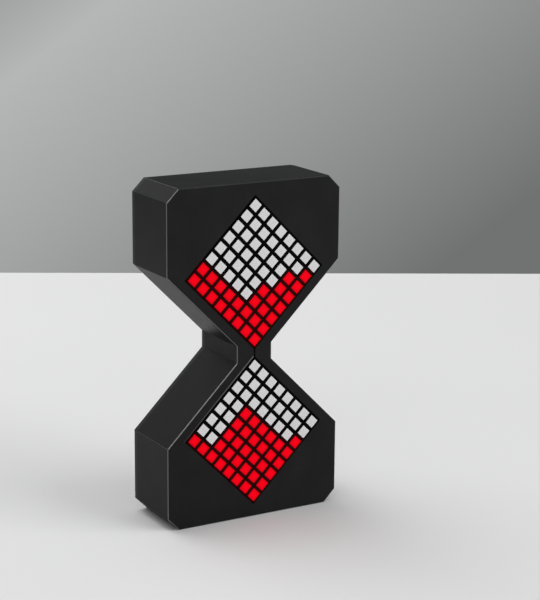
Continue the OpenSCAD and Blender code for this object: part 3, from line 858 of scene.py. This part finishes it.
# The socket's tongue is rounded where it shows
def charging_socket_tongue():
    shown_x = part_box("usb_shell")[1].x - TONGUE_SHOWN
    shape = rounded_copy("usb_tongue", lambda point: point.x > shown_x, FINE_ROUND)
    make_piece(shape, "charging_socket_tongue", "casing", [TONGUE], ["usb_tongue"])


# Gilt strips along both faces of the socket's tongue
def charging_socket_contacts():
    low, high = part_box("usb_tongue")
    middle = (low + high) / 2
    x = high.x - CONTACT_BACK - CONTACT_SIZE.x / 2
    shape = bmesh.new()
    for side in (-1, 1):
        for strip in range(CONTACTS):
            z = middle.z + (strip - (CONTACTS - 1) / 2) * CONTACT_PITCH
            place = Matrix.Translation((x, middle.y + side * TONGUE_HALF, z))
            bmesh.ops.create_cube(shape, size=1, matrix=place @ Matrix.Diagonal((*CONTACT_SIZE, 1)))
    soften(shape, list(shape.edges), CONTACT_BEVEL, steps=1)
    make_piece(shape, "charging_socket_contacts", "casing", [GOLD])


# A chip's body has softened upper edges, and its leads are tinned
def chip(node, name):
    top_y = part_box(node)[1].y
    shape = rounded_copy(node, lambda point: point.y > top_y - NEAR, CHIP_ROUND)
    for face in shape.faces:
        if max(vert.co.y for vert in face.verts) < BOARD_Y + CHIP_LEAD_T + NEAR:
            face.material_index = TINNED
    make_piece(shape, name, "casing", [RESIN, TIN], [node])


# Chip capacitors with a tinned band round each end
def capacitor_bodies():
    shape = copy_of("chip_capacitors")
    for solid in solids_in(shape):
        places = [vert.co.x for face in solid for vert in face.verts]
        bands = (min(places) + CAPACITOR_END, max(places) - CAPACITOR_END)
        faces = solid
        for band in bands:
            faces = split_faces(shape, faces, (band, 0, 0), RIGHTWARDS)
        for face in faces:
            if not bands[0] < face.calc_center_median().x < bands[1]:
                face.material_index = TINNED
    soften(shape, creases(shape, lambda point: True), FINE_ROUND)
    finishes = [CERAMIC, TIN]
    make_piece(shape, "capacitor_bodies", "casing", finishes, ["chip_capacitors"])


# The battery's pouch is well rounded along its two broad faces
def battery_pouch():
    low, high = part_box("battery")
    shape = rounded_copy(
        "battery",
        lambda point: min(point.y - low.y, high.y - point.y) < NEAR,
        POUCH_ROUND,
    )
    make_piece(shape, "battery_pouch", "casing", [POUCH], ["battery"])


def battery_lead_pair():
    low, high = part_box("battery_leads")
    make_piece(
        copy_of("battery_leads"),
        "battery_lead_pair",
        "casing",
        [lead_sleeve("red_and_black_sleeve", (low.x + high.x) / 2)],
        ["battery_leads"],
        WIRE_SMOOTH,
    )


# CAD nodes whose shape is right keep it, and take a finish
NODE_FINISHES = {
    "upper_matrix_base": FILLER,
    "lower_matrix_base": FILLER,
    "upper_matrix_pins": TIN,
    "lower_matrix_pins": TIN,
    "main_board": LAMINATE,
    "board_screws": BRIGHT_SCREW,
    "tilt_sensor_can": CAN,
    "tilt_sensor_plug": RESIN,
    "buzzer": RESIN,
    "battery_tape": TAPE,
    "battery_plug": NYLON,
    "battery_socket": NYLON,
    "switch_case": CAN,
    "tact_case": RESIN,
    "tact_plunger": CAP,
}


def dress_nodes():
    for node, material in NODE_FINISHES.items():
        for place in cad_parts[node].material_slots:
            place.material = material


shell_moulding()
cover_moulding()
for half in ("upper", "lower"):
    lit = pixel_lenses(f"{half}_lit_pixels", f"{half}_lit_lenses", LIT)
    pixel_lenses(f"{half}_unlit_pixels", f"{half}_unlit_lenses", UNLIT)
    display_frame(f"{half}_matrix_case", f"{half}_display_frame", lit)
cover_screw_heads()
set_button_cap()
push_switch_dome()
rolling_ball()
tilt_sensor_wires()
power_knob_tip()
charging_socket_shell()
charging_socket_tongue()
charging_socket_contacts()
for node in ("upper_driver_chip", "lower_driver_chip", "microcontroller", "charger_chip"):
    chip(node, f"{node}_body")
capacitor_bodies()
battery_pouch()
battery_lead_pair()
dress_nodes()

# Camera at the photograph's viewing angle: place in metres, turn in radians, lens and sensor
# in millimetres
CAMERA_PLACE = (-0.251439, -0.453192, 0.189551)
CAMERA_TURN = (1.33317, -0.00807, -0.52383)
CAMERA_LENS = 108.368
CAMERA_SENSOR = 36

camera = bpy.data.objects.new("camera", bpy.data.cameras.new("camera"))
bpy.context.scene.collection.objects.link(camera)
camera.location = CAMERA_PLACE
camera.rotation_euler = CAMERA_TURN
camera.data.lens = CAMERA_LENS
camera.data.sensor_width = CAMERA_SENSOR
bpy.context.scene.camera = camera

# Table: it reaches far to the front and sides, and ends behind the timer
TABLE_REACH = 3.0
TABLE_BEHIND = 0.318
TABLE_TURN = math.radians(1.5)
TABLE_DEEP = (0.8, 0.8, 0.802)
TABLE_PALE = (0.82, 0.82, 0.822)
TABLE_CLOUD = 0.3
TABLE_GRAIN = 0.02
TABLE_ROUGH = (0.55, 0.65)

# Wall: as the camera sees it, it pales to the left and upwards, and then dims again
WALL_DEEP = (0.16, 0.17, 0.165)
WALL_PALE = (0.46, 0.475, 0.465)
WALL_DIM = (0.15, 0.155, 0.153)
WALL_LEFTWARDS = 0.84
WALL_UPWARDS = 1.08
WALL_START = -0.06
WALL_END = 0.4
WALL_PALEST = 0.67

# Brightness of the soft light from all round
AMBIENT = 0.4

# Lamps: place, width and height in metres, and power in watts
SOFTBOXES = {
    "overhead_softbox": ((-0.25, 0.5, 1.15), (0.9, 0.9), 5.4),
    "front_softbox": ((2.25, -2.55, 1.55), (3.0, 2.4), 81.0),
    "back_softbox": ((-0.27, 1.0, 0.67), (0.8, 0.6), 1.6),
    "left_softbox": ((-0.5, -0.495, 0.675), (0.2, 0.4), 0.45),
}


def matt_table(name):
    finish = Finish(name)
    finish.colour(finish.tint(finish.noise(TABLE_CLOUD), TABLE_DEEP, TABLE_PALE))
    finish.roughness(finish.span(finish.noise(TABLE_GRAIN), *TABLE_ROUGH))
    finish.fixed(Specular_IOR_Level=0.02)
    return finish.material


# Pale table top, whose far edge lies nearly square to the camera's view behind the timer
def table_top():
    shape = bmesh.new()
    bmesh.ops.create_grid(shape, x_segments=1, y_segments=1, size=1)
    length = TABLE_REACH + TABLE_BEHIND
    bmesh.ops.scale(shape, vec=(TABLE_REACH, length / 2, 1), verts=shape.verts)
    bmesh.ops.translate(shape, vec=(0, TABLE_BEHIND - length / 2, 0), verts=shape.verts)
    heading = Matrix.Rotation(camera.rotation_euler.z + TABLE_TURN, 4, "Z")
    bmesh.ops.transform(shape, matrix=heading, verts=shape.verts)
    mesh = bpy.data.meshes.new("table_top")
    shape.to_mesh(mesh)
    shape.free()
    mesh.materials.append(matt_table("pale_matt_table"))
    table = bpy.data.objects.new("table_top", mesh)
    bpy.context.scene.collection.objects.link(table)


# A rectangular lamp that faces the middle of the timer
def softbox(name, place, size, power):
    lamp = bpy.data.lights.new(name, "AREA")
    lamp.shape = "RECTANGLE"
    lamp.size, lamp.size_y = size
    lamp.energy = power
    box = bpy.data.objects.new(name, lamp)
    bpy.context.scene.collection.objects.link(box)
    box.location = place
    aim = Vector((0, 0, HALF_H)) - Vector(place)
    box.rotation_euler = aim.to_track_quat("-Z", "Y").to_euler()
    box.visible_camera = False


# Soft light from all round, with a grey wall where the camera and gloss look past the table
def studio_world():
    world = bpy.data.worlds.new("studio")
    world.use_nodes = True
    bpy.context.scene.world = world
    tree = world.node_tree
    nodes = tree.nodes
    turn = camera.rotation_euler.to_matrix()
    slope = WALL_UPWARDS * turn.col[1] - WALL_LEFTWARDS * turn.col[0]
    along = nodes.new("ShaderNodeVectorMath")
    along.operation = "DOT_PRODUCT"
    along.inputs[1].default_value = slope
    tree.links.new(nodes.new("ShaderNodeTexCoord").outputs["Generated"], along.inputs[0])
    share = nodes.new("ShaderNodeMapRange")
    share.inputs["From Min"].default_value = WALL_START
    share.inputs["From Max"].default_value = WALL_END
    tree.links.new(along.outputs["Value"], share.inputs["Value"])
    wall = nodes.new("ShaderNodeValToRGB")
    wall.color_ramp.elements.new(WALL_PALEST)
    for stop, colour in zip(wall.color_ramp.elements, (WALL_DEEP, WALL_PALE, WALL_DIM)):
        stop.color = (*colour, 1)
    tree.links.new(share.outputs["Result"], wall.inputs["Fac"])
    path = nodes.new("ShaderNodeLightPath")
    seen = path.outputs["Is Camera Ray"]
    for kind in ("Is Glossy Ray", "Is Transmission Ray"):
        either = nodes.new("ShaderNodeMath")
        either.operation = "MAXIMUM"
        tree.links.new(seen, either.inputs[0])
        tree.links.new(path.outputs[kind], either.inputs[1])
        seen = either.outputs["Value"]
    mix = nodes.new("ShaderNodeMix")
    mix.data_type = "RGBA"
    mix.inputs["A"].default_value = (AMBIENT, AMBIENT, AMBIENT, 1)
    tree.links.new(wall.outputs["Color"], mix.inputs["B"])
    tree.links.new(seen, mix.inputs["Factor"])
    tree.links.new(mix.outputs["Result"], nodes["Background"].inputs["Color"])


table_top()
studio_world()
for name, (place, size, power) in SOFTBOXES.items():
    softbox(name, place, size, power)

bpy.context.scene.view_settings.view_transform = "Standard"
